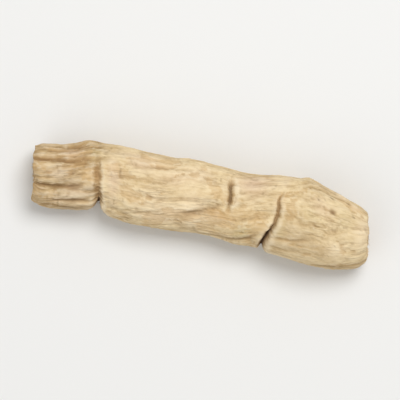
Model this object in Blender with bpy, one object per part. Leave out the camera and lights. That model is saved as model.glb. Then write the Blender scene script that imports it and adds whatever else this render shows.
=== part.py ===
# A short length of dried morinda root, as it is sold cut and dried.
# It grew as one piece, so it is one solid: thick wrinkled bark round a thin woody core, with
# transverse cracks where the bark shrank and broke into short lengths as it dried.
# Metres, +Z up, +X along the root from its shrunken end to its blunt end. It lies on its
# flattened underside, on the plane Z = 0, with the origin under the middle of its box.

import math

import bmesh
import bpy
import numpy as np
from mathutils import noise

MM = 0.001

# The length of the finished root, which is scaled evenly to it, and its height over its width.
LENGTH = 40.0 * MM
FLATNESS = 0.87

# How much of the underside is cut off flat, in millimetres.
UNDERSIDE_CUT = 0.38

# The root from its shrunken end to its blunt end, in millimetres: place along it, how far its
# centre lies to the +Y side, half its width, and how far its underside lifts off the surface.
STATIONS = [
    (0.0, 0.45, 3.35, 0.70),
    (0.7, 0.42, 3.68, 0.45),
    (3.5, 0.66, 3.80, 0.20),
    (6.0, 1.26, 3.95, 0.10),
    (7.6, 1.48, 3.95, 0.05),
    (9.2, 1.48, 4.17, 0.00),
    (12.0, 1.28, 4.34, 0.00),
    (15.0, 1.18, 4.38, 0.00),
    (18.0, 1.34, 4.48, 0.00),
    (21.0, 1.34, 4.22, 0.05),
    (24.5, 1.08, 4.30, 0.05),
    (27.2, 1.52, 4.42, 0.00),
    (29.6, 1.42, 4.68, 0.00),
    (32.5, 1.22, 4.98, 0.00),
    (35.3, 0.78, 4.60, 0.05),
    (37.1, 0.60, 4.18, 0.18),
    (38.4, 0.58, 3.68, 0.42),
    (39.2, 0.75, 3.00, 0.75),
]

# Transverse cracks, in millimetres and degrees: place along the root, slant towards +X on the
# +Y side, depth, half the width of the gap, and how many times wider it flares where it gapes
# most; then the angles round the root, from the +Y side over the top, where it starts, where
# it ends and where it gapes most.
CRACKS = [
    (7.43, -0.15, 1.30, 0.32, 1.4, 50, 280, 190),
    (23.06, -0.10, 0.75, 0.26, 0.3, 30, 104, 66),
    (28.60, 0.24, 1.35, 0.34, 1.0, 50, 300, 190),
    (16.3, 0.10, 0.80, 0.28, 0.4, 205, 330, 290),
    (33.6, -0.15, 0.65, 0.26, 0.3, -95, -4, -40),
]

# Bends in the cracks: the place of its crack along the root, the angle where a bend is strongest,
# the span of the bend in degrees, and how far towards +X it goes there, in millimetres.
CRACK_BENDS = [
    (28.60, 105, 30, 0.42),
    (28.60, 70, 22, -0.50),
]

# How far each end leans towards +X on the +Y side, for each millimetre of its half width.
END_SLANTS = (-0.15, -0.15)

# How a crack closes at its ends and away from where it gapes most, in degrees, its least share
# of its depth there, and the span of the flare.
CRACK_END_SPAN = 34
GAPE_SPAN = 58
LEAST_OPEN = 0.45
FLARE_SPAN = 38

# What a crack does to the bark beside it, in millimetres: its wavering, the length over which
# the bark runs along it, the lips that curl up at the sides of its gap, and the waist there.
CRACK_WAVER = 0.22
CRACK_WAVES_ROUND = 2.2
BESIDE_LENGTH = 2.6
WALL_STEEPNESS = 2.4
LIP_HEIGHT = 0.13
LIP_PLACE = 2.5
LIP_WIDTH = 1.3
WAIST_DEPTH = 0.10
WAIST_LENGTH = 1.5

# Long furrows in the bark, in millimetres and degrees: where each starts and ends along the
# root, its angle at each of those, its depth and half its width.
FURROWS = [
    (-1.5, 6.6, 14, 22, 0.78, 0.62),
    (-1.5, 7.2, 60, 58, 0.52, 0.62),
    (-1.5, 6.6, 120, 106, 0.80, 0.72),
    (1.4, 7.2, 150, 136, 0.36, 0.58),
    (-1.5, 7.4, 164, 170, 0.50, 0.48),
    (-1.5, 7.6, 204, 214, 0.65, 0.58),
    (-1.5, 7.6, 252, 247, 0.50, 0.55),
    (-1.5, 7.0, 296, 288, 0.65, 0.58),
    (-1.5, 7.2, 340, 334, 0.58, 0.52),
    (8.8, 21.0, 142, 112, 0.22, 0.60),
    (8.6, 17.5, 88, 66, 0.18, 0.60),
    (17.4, 23.2, 126, 88, 0.34, 0.55),
    (9.0, 26.5, 212, 182, 0.40, 0.58),
    (9.0, 15.8, 242, 228, 0.35, 0.55),
    (10.5, 28.0, 356, 332, 0.38, 0.60),
    (17.0, 28.0, 316, 292, 0.35, 0.55),
    (21.0, 28.2, 162, 142, 0.26, 0.60),
    (29.6, 38.7, 176, 166, 0.26, 0.58),
    (29.8, 37.9, 44, 28, 0.22, 0.60),
    (30.1, 39.1, 232, 228, 0.38, 0.58),
    (29.8, 38.9, 330, 320, 0.36, 0.55),
]
FURROW_TAPER = 2.2
FURROW_STEEPNESS = 1.6
FURROW_WANDER = 4.0
WANDER_LENGTH = 2.9

# Lumps and creases of the bark. Both follow smooth noise, whose waves are so many millimetres
# long and go so many times round the root. A crease runs where its noise is near 0, and turns
# round the root by the bark's twist, in degrees a millimetre.
LUMP_HEIGHT = 0.36
LUMP_LENGTH = 7.0
LUMPS_ROUND = 0.75
CREASE_DEPTH = 0.28
CREASE_LENGTH = 9.5
CREASES_ROUND = 1.7
CREASE_WIDTH = 0.17
CREASE_REST = 0.35
BARK_TWIST = 1.6
BEND_SIZE = 0.18
BEND_LENGTH = 3.0
BENDS_ROUND = 1.3

# Where each of those is read in the noise, so that no two of them are alike.
LUMP_SEED = 4.0
BEND_SEED = 21.0
CREASE_SEED = 11.0
WANDER_SEED = 3.3
ROUGH_SEEDS = (30.0, 39.0)
RIM_SEEDS = (50.0, 59.0)

# The end faces. The woody core's share of the radius, how far it and the domed bark stand out
# along the root, how deep the ring between them is, and how ragged the rim is, in millimetres,
# for the shrunken end and then for the blunt one.
CORE_SHARE = 0.37
CORE_STANDS = (0.20, 0.05)
DOME_STANDS = (-0.15, 0.28)
RING_DEPTH = (0.35, 0.22)
RING_PLACE = 1.4 * CORE_SHARE
RING_WIDTH = 0.10
RIM_RAGGED = (0.70, 0.25)
RAGS_ROUND = 1.9
FACE_ROUGH = 0.22
FACE_WAVES = 2.6
CORE_LOBES = ((3, 0.10, 0.7), (5, 0.05, 2.0))
END_RINGS = [0.88, 0.74, 0.60, 0.48, CORE_SHARE, 0.27, 0.14]
END_LENGTH = 2.0

# Facets of the solid: how many round the root and how many along it.
FACETS_ROUND = 48
RINGS = 90
RINGS_DRAWN_TO_A_CRACK = 2.4
RINGS_DRAWN_TO_AN_END = 1.6
DRAWN_LENGTH = 0.8
PLACES_TRIED = 2000
SNAP_TO_SURFACE = 0.03

# A vertex of the round bar is on its side, not on an end face, beyond this share of the radius.
SIDE_SHARE = 0.995

BARK_COLOUR = (0.62, 0.47, 0.28, 1)


def station_value(place, column):
    """One column of STATIONS at a place along the root, on a smooth curve through the rows."""
    places = [row[0] for row in STATIONS]
    last = len(places) - 1
    here = min(max(int(np.searchsorted(places, place)) - 1, 0), last - 1)
    span = places[here + 1] - places[here]
    share = (place - places[here]) / span

    def slope(row):
        before, after = max(row - 1, 0), min(row + 1, last)
        return (STATIONS[after][column] - STATIONS[before][column]) / (places[after] - places[before])

    start, end = STATIONS[here][column], STATIONS[here + 1][column]
    squared, cubed = share**2, share**3
    return (
        (2 * cubed - 3 * squared + 1) * start
        + (cubed - 2 * squared + share) * span * slope(here)
        + (3 * squared - 2 * cubed) * end
        + (cubed - squared) * span * slope(here + 1)
    )


def ease(share):
    """0 below 0, 1 above 1, and a smooth step between them."""
    share = min(max(share, 0.0), 1.0)
    return share * share * (3 - 2 * share)


def angle_between(first, second):
    """The turn from the second angle to the first, in degrees, from -180 to 180."""
    return (first - second + 180) % 360 - 180


def crack_reach(first, last, deepest, degrees):
    """How open a crack is at an angle round the root: 0 past its ends, and 1 where it gapes most."""
    half_span = (last - first) / 2
    inside = half_span - abs(angle_between(degrees, (first + last) / 2))
    gape = math.exp(-((angle_between(degrees, deepest) / GAPE_SPAN) ** 2))
    return ease(inside / CRACK_END_SPAN) * (LEAST_OPEN + (1 - LEAST_OPEN) * gape)


def crack_drift(place, degrees):
    """How far a ring of the bark lies from its even place, so that it runs along the cracks near it."""
    turn = math.radians(degrees)
    across, up = math.cos(turn), math.sin(turn)
    drift = 0.0
    for at, slant, *_ in CRACKS:
        near = math.exp(-(((place - at) / BESIDE_LENGTH) ** 2))
        waver = CRACK_WAVER * noise.noise((CRACK_WAVES_ROUND * across, CRACK_WAVES_ROUND * up, at))
        drift += near * (slant * station_value(at, 2) * across + waver)
    for at, angle, span, shift in CRACK_BENDS:
        near = math.exp(-(((place - at) / BESIDE_LENGTH) ** 2))
        drift += near * shift * math.exp(-((angle_between(degrees, angle) / span) ** 2))
    return drift


def end_lean(place, degrees, share):
    """How far a point lies from its even place because the ends were broken off aslant."""
    lean = 0.0
    for at, slant in zip((STATIONS[0][0], STATIONS[-1][0]), END_SLANTS):
        near = math.exp(-(((place - at) / BESIDE_LENGTH) ** 2))
        lean += near * slant * station_value(at, 2) * share * math.cos(math.radians(degrees))
    return lean


def cracked(place, degrees):
    """The height that the cracks take off the bark, less the lips that curl up beside them."""
    height = 0.0
    for at, _, depth, half_gap, flare, first, last, deepest in CRACKS:
        reach = crack_reach(first, last, deepest, degrees)
        if reach > 0:
            flared = 1 + flare * math.exp(-((angle_between(degrees, deepest) / FLARE_SPAN) ** 2))
            gaps_away = abs(place - at) / (flared * half_gap * (1 + reach) / 2)
            height -= depth * reach * math.exp(-(gaps_away**WALL_STEEPNESS))
            height += LIP_HEIGHT * reach * math.exp(-(((gaps_away - LIP_PLACE) / LIP_WIDTH) ** 2))
            height -= WAIST_DEPTH * reach * math.exp(-(((place - at) / WAIST_LENGTH) ** 2))
    return height


def furrowed(place, degrees, radius):
    """The height that the long furrows take off the bark."""
    height = 0.0
    for start, end, angle_from, angle_to, depth, half_width in FURROWS:
        if not start < place < end:
            continue
        share = (place - start) / (end - start)
        wander = FURROW_WANDER * noise.noise((place / WANDER_LENGTH, angle_from / 9, WANDER_SEED))
        angle = angle_from + (angle_to - angle_from) * share + wander
        away = math.radians(angle_between(degrees, angle)) * radius / half_width
        tapered = ease((place - start) / FURROW_TAPER) * ease((end - place) / FURROW_TAPER)
        height -= depth * tapered * math.exp(-(abs(away) ** FURROW_STEEPNESS))
    return height


def lumped(place, degrees):
    """Low lumps and hollows, and the creases that the bark drew into as it dried."""
    turn = math.radians(degrees + BARK_TWIST * place)
    across, up = math.cos(turn), math.sin(turn)
    lump = noise.noise((LUMPS_ROUND * across, LUMPS_ROUND * up, place / LUMP_LENGTH + LUMP_SEED))
    bend = noise.noise((BENDS_ROUND * across, BENDS_ROUND * up, place / BEND_LENGTH + BEND_SEED))
    bend *= BEND_SIZE
    crease = noise.noise(
        (
            CREASES_ROUND * across + bend,
            CREASES_ROUND * up,
            place / CREASE_LENGTH + CREASE_SEED + bend / 2,
        )
    )
    creased = math.exp(-((crease / CREASE_WIDTH) ** 2)) - CREASE_REST
    return LUMP_HEIGHT * lump - CREASE_DEPTH * creased


def end_relief(share, degrees, end):
    """How far a point of an end stands out along the root: end 0 is shrunken, end 1 is blunt."""
    turn = math.radians(degrees)
    across, up = math.cos(turn), math.sin(turn)
    rim = RIM_RAGGED[end] * noise.noise((RAGS_ROUND * across, RAGS_ROUND * up, RIM_SEEDS[end]))
    if share == 1:
        return rim
    core = 1 - ease(2 * (share / CORE_SHARE - 0.75))
    ring = math.exp(-(((share - RING_PLACE) / RING_WIDTH) ** 2))
    waves = FACE_WAVES * share
    rough = noise.noise((waves * across, waves * up, ROUGH_SEEDS[end])) * min(1.0, 3 * (1 - share))
    stands = DOME_STANDS[end] * (1 - share**2) + CORE_STANDS[end] * core - RING_DEPTH[end] * ring
    return rim * share**2 + FACE_ROUGH * rough + stands


def core_outline(degrees):
    """The woody core's edge against a circle, with a few low lobes."""
    turn = math.radians(degrees)
    return 1 + sum(size * math.cos(lobes * turn + start) for lobes, size, start in CORE_LOBES)


def radius_share(share, degrees):
    """The share of the radius that a ring of an end face stands at, which follows the core's edge."""
    if share == 1:
        return 1.0
    bark_share = max(share - CORE_SHARE, 0) / (1 - CORE_SHARE)
    return share * (core_outline(degrees) * (1 - bark_share) + bark_share)


def surface_point(place, degrees, share):
    """The point of the root at a place along it, an angle round it and a share of its radius."""
    turn = math.radians(degrees)
    half_width = station_value(place, 2)
    height = cracked(place, degrees) + furrowed(place, degrees, half_width) + lumped(place, degrees)
    height *= share**2
    reach = radius_share(share, degrees)
    across = (half_width + height) * math.cos(turn) * reach
    up = (half_width * FLATNESS + height) * math.sin(turn) * reach

    first, last = STATIONS[0][0], STATIONS[-1][0]
    blunt = last - place < place - first
    near_end = ease(1 - min(place - first, last - place) / END_LENGTH)
    relief = near_end * end_relief(share, degrees, int(blunt))
    along = place + crack_drift(place, degrees) + end_lean(place, degrees, share)
    along += relief if blunt else -relief
    centre_height = half_width * FLATNESS - UNDERSIDE_CUT + station_value(place, 3)
    return along, station_value(place, 1) + across, centre_height + up


def ring_places():
    """Where the rings of facets stand along the root: evenly, but closer together at the cracks and ends."""
    places = np.linspace(STATIONS[0][0], STATIONS[-1][0], PLACES_TRIED)
    closeness = np.ones_like(places)
    for at, *_ in CRACKS:
        closeness += RINGS_DRAWN_TO_A_CRACK * np.exp(-(((places - at) / DRAWN_LENGTH) ** 2))
    for end in (places[0], places[-1]):
        closeness += RINGS_DRAWN_TO_AN_END * np.exp(-(((places - end) / DRAWN_LENGTH) ** 2))
    travelled = np.concatenate([[0], np.cumsum((closeness[1:] + closeness[:-1]) / 2)])
    return np.interp(np.linspace(0, travelled[-1], RINGS + 1), travelled, places)


def round_bar():
    """A bar of radius 1 with a ring of vertices at each whole height, and rings on both ends."""
    bar = bmesh.new()
    bmesh.ops.create_cone(
        bar, cap_ends=True, segments=FACETS_ROUND, radius1=1, radius2=1, depth=RINGS
    )
    ends = [face for face in bar.faces if len(face.verts) == FACETS_ROUND]
    long_edges = [edge for edge in bar.edges if edge.calc_length() > 1]
    bmesh.ops.subdivide_edges(bar, edges=long_edges, cuts=RINGS - 1, use_grid_fill=True)
    for end in ends:
        outer = 1.0
        for ring in END_RINGS:
            inset = (outer - ring) * math.cos(math.pi / FACETS_ROUND)
            bmesh.ops.inset_region(bar, faces=[end], thickness=inset)
            outer = ring
        bmesh.ops.poke(bar, faces=[end])
    return bar


def shape_root(bar):
    """Moves every vertex of the round bar to its place on the root's surface, in millimetres."""
    places = ring_places()
    for vertex in bar.verts:
        radius = math.hypot(vertex.co.x, vertex.co.y)
        share = 1 if radius > SIDE_SHARE else radius
        degrees = math.degrees(math.atan2(vertex.co.y, vertex.co.x))
        ring = min(max(round(vertex.co.z + RINGS / 2), 0), RINGS)
        vertex.co = surface_point(places[ring], degrees, share)


def flatten_underside(bar):
    """Cuts the root off at the surface that it lies on, which leaves the flat it rests on."""
    cut = bmesh.ops.bisect_plane(
        bar,
        geom=bar.verts[:] + bar.edges[:] + bar.faces[:],
        dist=SNAP_TO_SURFACE,
        plane_co=(0, 0, 0),
        plane_no=(0, 0, -1),
        use_snap_center=True,
        clear_outer=True,
    )
    rim = [piece for piece in cut["geom_cut"] if isinstance(piece, bmesh.types.BMEdge)]
    bmesh.ops.holes_fill(bar, edges=rim, sides=0)


def fit_to_length(bar):
    """Scales the root to its length in metres, with the origin under the middle of its box."""
    corners = np.array([vertex.co for vertex in bar.verts])
    low, high = corners.min(axis=0), corners.max(axis=0)
    middle = (low + high) / 2
    scale = LENGTH / (high[0] - low[0])
    bmesh.ops.translate(bar, vec=(-middle[0], -middle[1], 0), verts=bar.verts)
    bmesh.ops.scale(bar, vec=(scale, scale, scale), verts=bar.verts)


def bark_material():
    """Pale tan bark, dry and matt."""
    material = bpy.data.materials.new("dried_bark")
    material.use_nodes = True
    shader = material.node_tree.nodes["Principled BSDF"]
    shader.inputs["Base Color"].default_value = BARK_COLOUR
    shader.inputs["Roughness"].default_value = 0.85
    shader.inputs["Metallic"].default_value = 0.0
    return material


def build_root(collection):
    bar = round_bar()
    shape_root(bar)
    flatten_underside(bar)
    fit_to_length(bar)
    bmesh.ops.triangulate(bar, faces=bar.faces[:])
    bmesh.ops.recalc_face_normals(bar, faces=bar.faces[:])
    mesh = bpy.data.meshes.new("morinda_root")
    bar.to_mesh(mesh)
    bar.free()
    mesh.shade_smooth()
    mesh.set_sharp_from_angle(angle=math.radians(50))
    mesh.materials.append(bark_material())
    root = bpy.data.objects.new("morinda_root", mesh)
    collection.objects.link(root)
    return root


def main():
    for old in list(bpy.data.objects):
        bpy.data.objects.remove(old)
    collection = bpy.data.collections.new("dried_morinda_root")
    bpy.context.scene.collection.children.link(collection)
    build_root(collection)


main()
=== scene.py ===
import bpy
import numpy as np
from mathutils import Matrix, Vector, noise


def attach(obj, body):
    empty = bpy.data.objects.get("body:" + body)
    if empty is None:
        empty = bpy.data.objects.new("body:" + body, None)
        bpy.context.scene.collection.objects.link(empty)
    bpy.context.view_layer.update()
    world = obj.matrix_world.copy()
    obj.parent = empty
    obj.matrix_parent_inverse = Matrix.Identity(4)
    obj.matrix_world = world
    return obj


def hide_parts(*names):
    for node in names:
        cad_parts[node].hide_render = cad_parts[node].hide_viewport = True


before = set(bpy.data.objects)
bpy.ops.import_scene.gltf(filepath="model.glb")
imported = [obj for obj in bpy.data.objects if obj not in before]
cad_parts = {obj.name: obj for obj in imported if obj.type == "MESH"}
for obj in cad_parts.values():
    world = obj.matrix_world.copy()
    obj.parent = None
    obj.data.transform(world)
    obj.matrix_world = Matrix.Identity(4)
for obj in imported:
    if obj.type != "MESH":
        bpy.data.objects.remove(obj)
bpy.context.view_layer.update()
print("frame loaded")

mm = 0.001
octaveFading = 0.7  # how fast the finer octaves of fractal noise weaken
octaveStep = 2.1  # how much finer each is than the last


# Small sums that everything below uses.
def ease(share):
    share = np.clip(share, 0.0, 1.0)
    return share * share * (3 - 2 * share)


def bell(distance):
    return np.exp(-(distance * distance))


def bellAt(value, middle, width):
    return bell((value - middle) / width)


def fadeIn(value, start, over):
    return ease((value - start) / over)


def hump(distance, steepness):
    return np.exp(-(distance**steepness))


def angleBetween(first, second):
    return (first - second + 180) % 360 - 180


def bellRound(degrees, middle, span):
    return bell(angleBetween(degrees, middle) / span)


# How many degrees inside a span of angles each point lies.
def degreesInside(first, last, degrees):
    return (last - first) / 2 - np.abs(angleBetween(degrees, (first + last) / 2))


def onCircle(degrees):
    turn = np.radians(degrees)
    return np.cos(turn), np.sin(turn)


def noiseAt(x, y, z, octaves=1):
    x, y, z = np.broadcast_arrays(x, y, z)
    points = zip(x.ravel(), y.ravel(), z.ravel())
    if octaves == 1:
        values = [noise.noise(point) for point in points]
    else:
        values = [noise.fractal(point, octaveFading, octaveStep, octaves, noise_basis="PERLIN_ORIGINAL")
                  for point in points]
    return np.array(values).reshape(x.shape)


# Noise with so many waves round the root. The seed may change along it.
def roundNoise(degrees, waves, seed):
    across, up = onCircle(degrees)
    return noiseAt(waves * across, waves * up, seed)


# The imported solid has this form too, but for details of two cracks and of the blunt end.
rootForm = {
    "stations": [  # along, centre to the +Y side, half width, lift of the underside
        (0.0, 0.45, 3.35, 0.70), (0.7, 0.42, 3.68, 0.45), (3.5, 0.66, 3.80, 0.20),
        (6.0, 1.26, 3.95, 0.10), (7.6, 1.48, 3.95, 0.05), (9.2, 1.48, 4.17, 0.00),
        (12.0, 1.28, 4.34, 0.00), (15.0, 1.18, 4.38, 0.00), (18.0, 1.34, 4.48, 0.00),
        (21.0, 1.34, 4.22, 0.05), (24.5, 1.08, 4.30, 0.05), (27.2, 1.52, 4.42, 0.00),
        (29.6, 1.42, 4.68, 0.00), (32.5, 1.22, 4.98, 0.00), (35.3, 0.78, 4.60, 0.05),
        (37.1, 0.60, 4.18, 0.18), (38.4, 0.58, 3.68, 0.42), (39.2, 0.75, 3.00, 0.75),
    ],
    "cracks": [  # along, slant, depth, half the gap, its flare, first, last and widest angle
        (7.43, -0.15, 1.30, 0.32, 1.4, 50, 280, 190),
        (23.06, -0.10, 0.66, 0.27, 0.3, 26, 111, 66),
        (28.60, 0.24, 1.35, 0.34, 0.6, 51, 300, 190),
        (16.3, 0.10, 0.80, 0.28, 0.4, 205, 330, 290),
        (33.6, -0.15, 0.65, 0.26, 0.3, -95, -4, -40),
    ],
    "bends": [(28.60, 105, 30, 0.42), (28.60, 70, 22, -0.50)],  # crack, angle, span, shift along
    "endSlants": (-0.15, -0.15),
    "furrows": [  # start, end, angle at each, depth, half width
        (-1.5, 6.6, 14, 22, 0.78, 0.62), (-1.5, 7.2, 60, 58, 0.52, 0.62),
        (-1.5, 6.6, 120, 106, 0.80, 0.72), (1.4, 7.2, 150, 136, 0.36, 0.58),
        (-1.5, 7.4, 164, 170, 0.50, 0.48), (-1.5, 7.6, 204, 214, 0.65, 0.58),
        (-1.5, 7.6, 252, 247, 0.50, 0.55), (-1.5, 7.0, 296, 288, 0.65, 0.58),
        (-1.5, 7.2, 340, 334, 0.58, 0.52), (8.8, 21.0, 142, 112, 0.12, 0.60),
        (8.6, 17.5, 88, 66, 0.18, 0.60), (17.4, 23.2, 126, 88, 0.34, 0.55),
        (9.0, 26.5, 212, 182, 0.40, 0.58), (9.0, 15.8, 242, 228, 0.35, 0.55),
        (10.5, 28.0, 356, 332, 0.38, 0.60), (17.0, 28.0, 316, 292, 0.35, 0.55),
        (21.0, 28.2, 162, 142, 0.26, 0.60), (29.6, 38.7, 176, 166, 0.26, 0.58),
        (29.8, 37.9, 44, 28, 0.22, 0.60), (30.1, 39.1, 232, 228, 0.38, 0.58),
        (29.8, 38.9, 330, 320, 0.36, 0.55),
    ],
    "meanRadius": 4.4,
    "flatness": 0.87,
    "undersideCut": 0.38,
    "restSoftness": 0.0016,  # how softly the underside turns into the flat that it rests on
    "twist": 1.6,  # degrees for each millimetre along
    "driftSpan": 2.6,  # how far along a crack or a slanting end shifts the bark
    "coreShare": 0.37,
    "middle": (19.5926, 1.0813),  # the solid is moved by this and then scaled
    "scale": 0.9918,
}
centreColumn, widthColumn, liftColumn = 1, 2, 3  # in the stations


# A smooth curve through one column of the stations.
def stationValue(place, column):
    rows = np.array(rootForm["stations"])
    places, values = rows[:, 0], rows[:, column]
    here = np.clip(np.searchsorted(places, place) - 1, 0, len(places) - 2)
    slopes = np.empty(len(places))
    slopes[1:-1] = (values[2:] - values[:-2]) / (places[2:] - places[:-2])
    slopes[0] = (values[1] - values[0]) / (places[1] - places[0])
    slopes[-1] = (values[-1] - values[-2]) / (places[-1] - places[-2])
    span = places[here + 1] - places[here]
    share = (place - places[here]) / span
    squared, cubed = share**2, share**3
    return (
        (2 * cubed - 3 * squared + 1) * values[here]
        + (cubed - 2 * squared + share) * span * slopes[here]
        + (3 * squared - 2 * cubed) * values[here + 1]
        + (cubed - squared) * span * slopes[here + 1]
    )


# Noise that follows the twisted bark. One wave is so many millimetres lengthwise and wide.
def barkNoise(place, degrees, lengthwise, wide, seed, octaves=1):
    across, up = onCircle(degrees + rootForm["twist"] * place)
    radius = rootForm["meanRadius"]
    return noiseAt(radius * across / wide, radius * up / wide, place / lengthwise + seed, octaves)


# How a crack looks from near by: a soft valley and, between two angles, a dark slit along its
# floor. Fades and spans round the root are in degrees, and widths across a crack in half gaps.
crackLook = {
    # First and last angle of each crack's slit, how wide its valley is where there is no slit,
    # how much shallower the crack is at the lower edge, and how dark it is inside.
    "slits": [(127, 262, 1.7, 0.0, 0.85), (36, 112, 1.0, 0.0, 0.42), (104, 290, 0.8, 0.48, 1.12),
              (215, 322, 1.2, 0.0, 0.8), (-90, -10, 1.2, 0.0, 0.8)],
    "nearBy": 6,  # millimetres to each side that a crack is worked out for
    "fade": 34,
    "shallowEnds": 0.45,
    "deepSpan": 58,
    "flareSpan": 38,
    "lowerEdge": (176, 26),  # angle and span
    "waver": 0.22,
    "slitFade": 26,
    "slitWander": 6,
    "slitDepth": 0.40,
    "slitWidth": 0.46,
    "slitEnds": 0.35,  # share of its width that a slit keeps where it ends
    "slitSteepness": 3,
    "softDepth": 0.84,
    "softSteepness": 2,
    "steeperWithSlit": 1.3,
    "jag": 0.09,
    "ragged": (0.22, 0.16),  # coarse and fine
    "rubble": 0.22,
    "lipHeight": 0.11,
    "lip": (2.4, 1.1),  # place and width
    # paleLip paints the raised lips pale, a painted highlight: its place and width.
    "paleLip": (2.3, 0.8),
    "leftLip": 0.35,  # the bark curls up less on the left of a crack
    "waist": 0.10,
    "waistWidth": 1.5,  # in millimetres
    # A valley's brown is partly stain and partly painted shade, and a slit is painted dark as shade once it
    # is deeper than darkFrom.
    "stainAndPaintedLight": (0.38, 1.2, 2.2),  # strength where there is no slit, width and steepness
    "darkFrom": (0.18, 0.5),  # depth from which a slit is dark, and what that fades over
}


# How much of its depth a crack has at each angle.
def crackReach(first, last, deepest, degrees):
    least = crackLook["shallowEnds"]
    deep = bellRound(degrees, deepest, crackLook["deepSpan"])
    return ease(degreesInside(first, last, degrees) / crackLook["fade"]) * (least + (1 - least) * deep)


# How far the cracks shift the bark along, so that they run aslant, waver and bend.
def crackDrift(place, degrees):
    across = np.cos(np.radians(degrees))
    drift = np.zeros(place.shape)
    for at, slant, *_ in rootForm["cracks"]:
        waver = crackLook["waver"] * roundNoise(degrees, 2.2, at)
        aslant = slant * stationValue(np.array(at), widthColumn) * across
        drift += bellAt(place, at, rootForm["driftSpan"]) * (aslant + waver)
    for at, angle, span, shift in rootForm["bends"]:
        drift += bellAt(place, at, rootForm["driftSpan"]) * shift * bellRound(degrees, angle, span)
    return drift


# The ends were broken off aslant.
def endLean(place, degrees, share):
    lean = np.zeros(place.shape)
    ends = rootForm["stations"][0], rootForm["stations"][-1]
    for (at, _, halfWidth, _), slant in zip(ends, rootForm["endSlants"]):
        near = bellAt(place, at, rootForm["driftSpan"])
        lean += near * slant * halfWidth * share * np.cos(np.radians(degrees))
    return lean


# The heights that the cracks give, and where their valleys (brown stain and painted shade), dark slits
# (painted shade) and lips (painted pale as highlights) are.
def crackHeights(place, degrees):
    look = crackLook
    coarse, fine = look["ragged"]
    faintest, stainAndShadeWidth, stainAndShadeSteepness = look["stainAndPaintedLight"]
    height, valleys, slits, lips = np.zeros((4, *place.shape))
    for crack, slitOfCrack in zip(rootForm["cracks"], look["slits"]):
        at, _, depth, halfGap, flare, first, last, deepest = crack
        slitFirst, slitLast, softWidth, shallower, darkness = slitOfCrack
        near = np.abs(place - at) < look["nearBy"]
        here, angle = place[near], degrees[near]
        reach = crackReach(first, last, deepest, angle)
        reach *= 1 - shallower * bellRound(angle, *look["lowerEdge"])
        wander = look["slitWander"] * roundNoise(angle, 3, at + 40)
        gaping = ease((degreesInside(slitFirst, slitLast, angle) + wander) / look["slitFade"])

        jag = look["jag"] * (roundNoise(angle, 5, at) + 0.6 * roundNoise(angle, 13, at + 3))
        side = np.where(here > at + jag, 1.0, -1.0)
        gap = halfGap * (1 + flare * bellRound(angle, deepest, look["flareSpan"])) * (1 + reach) / 2
        ragged = 1 + coarse * roundNoise(angle, 7, at + 7 * side)
        ragged += fine * roundNoise(angle, 17, at + 11 * side)
        away = np.abs(here - at - jag) / (gap * ragged)

        steepness = look["softSteepness"] + look["steeperWithSlit"] * gaping
        valley = hump(away / (softWidth + (1 - softWidth) * gaping), steepness)
        slitWidth = look["slitWidth"] * (look["slitEnds"] + (1 - look["slitEnds"]) * gaping)
        slit = gaping * hump(away / slitWidth, look["slitSteepness"])
        rubble = 1 + look["rubble"] * roundNoise(angle, 9, here * 4 + at)
        softDepth = look["softDepth"] + (1 - look["slitDepth"] - look["softDepth"]) * gaping
        height[near] -= depth * reach * (softDepth * valley + look["slitDepth"] * slit * rubble)
        lipShare = np.where(side > 0, 1.0, look["leftLip"])
        height[near] += look["lipHeight"] * lipShare * reach * bellAt(away, *look["lip"])
        height[near] -= look["waist"] * reach * bellAt(here, at, look["waistWidth"])

        brown = darkness * (faintest + (1 - faintest) * gaping) * ease(reach / 0.5)
        valleys[near] = np.maximum(valleys[near], brown * hump(away / stainAndShadeWidth, stainAndShadeSteepness))
        dark = darkness * slit * fadeIn(reach * depth, *look["darkFrom"])
        slits[near] = np.maximum(slits[near], dark)
        lips[near] += lipShare * ease(reach / 0.6) * bellAt(away, *look["paleLip"])
    return height, valleys, slits, np.clip(lips, 0, 1)


furrowLook = {
    "wander": ((4.0, 2.9, 9, 3.3), (1.8, 0.7, 7, 8.1)),  # degrees, wave length, step and seed
    "taper": 2.2,
    "rounded": 0.62,  # share of the depth that is round, and the rest is sharp
    "roundSteepness": 1.6,
    "sharpWidth": 0.42,
    # Furrows are painted darker, as shade, and darker still the deeper they are.
    "darkening": (0.1, 1.4),  # for any furrow, and for each millimetre of its depth
}


# The heights that the furrows give, and how far inside one each point lies.
def furrowHeights(place, degrees, radius):
    look = furrowLook
    leastDark, darker = look["darkening"]
    height, inside = np.zeros((2, *place.shape))
    for start, end, angleFrom, angleTo, depth, halfWidth in rootForm["furrows"]:
        within = (place > start) & (place < end)
        here = place[within]
        astray = sum(far * noiseAt(here / wave, angleFrom / step, seed)
                     for far, wave, step, seed in look["wander"])
        angle = angleFrom + (angleTo - angleFrom) * (here - start) / (end - start) + astray
        away = np.abs(np.radians(angleBetween(degrees[within], angle)) * radius[within] / halfWidth)
        tapered = fadeIn(here, start, look["taper"]) * ease((end - here) / look["taper"])
        rounded = look["rounded"] * hump(away, look["roundSteepness"])
        groove = tapered * (rounded + (1 - look["rounded"]) * np.exp(-away / look["sharpWidth"]))
        height[within] -= depth * groove
        inside[within] = np.maximum(inside[within], min(1.0, darker * depth + leastDark) * groove)
    return height, inside


lumpLook = {"lumps": 0.36, "creases": 0.15, "creaseWidth": 0.17, "creaseLevel": 0.35, "creaseBend": 0.18}


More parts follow.
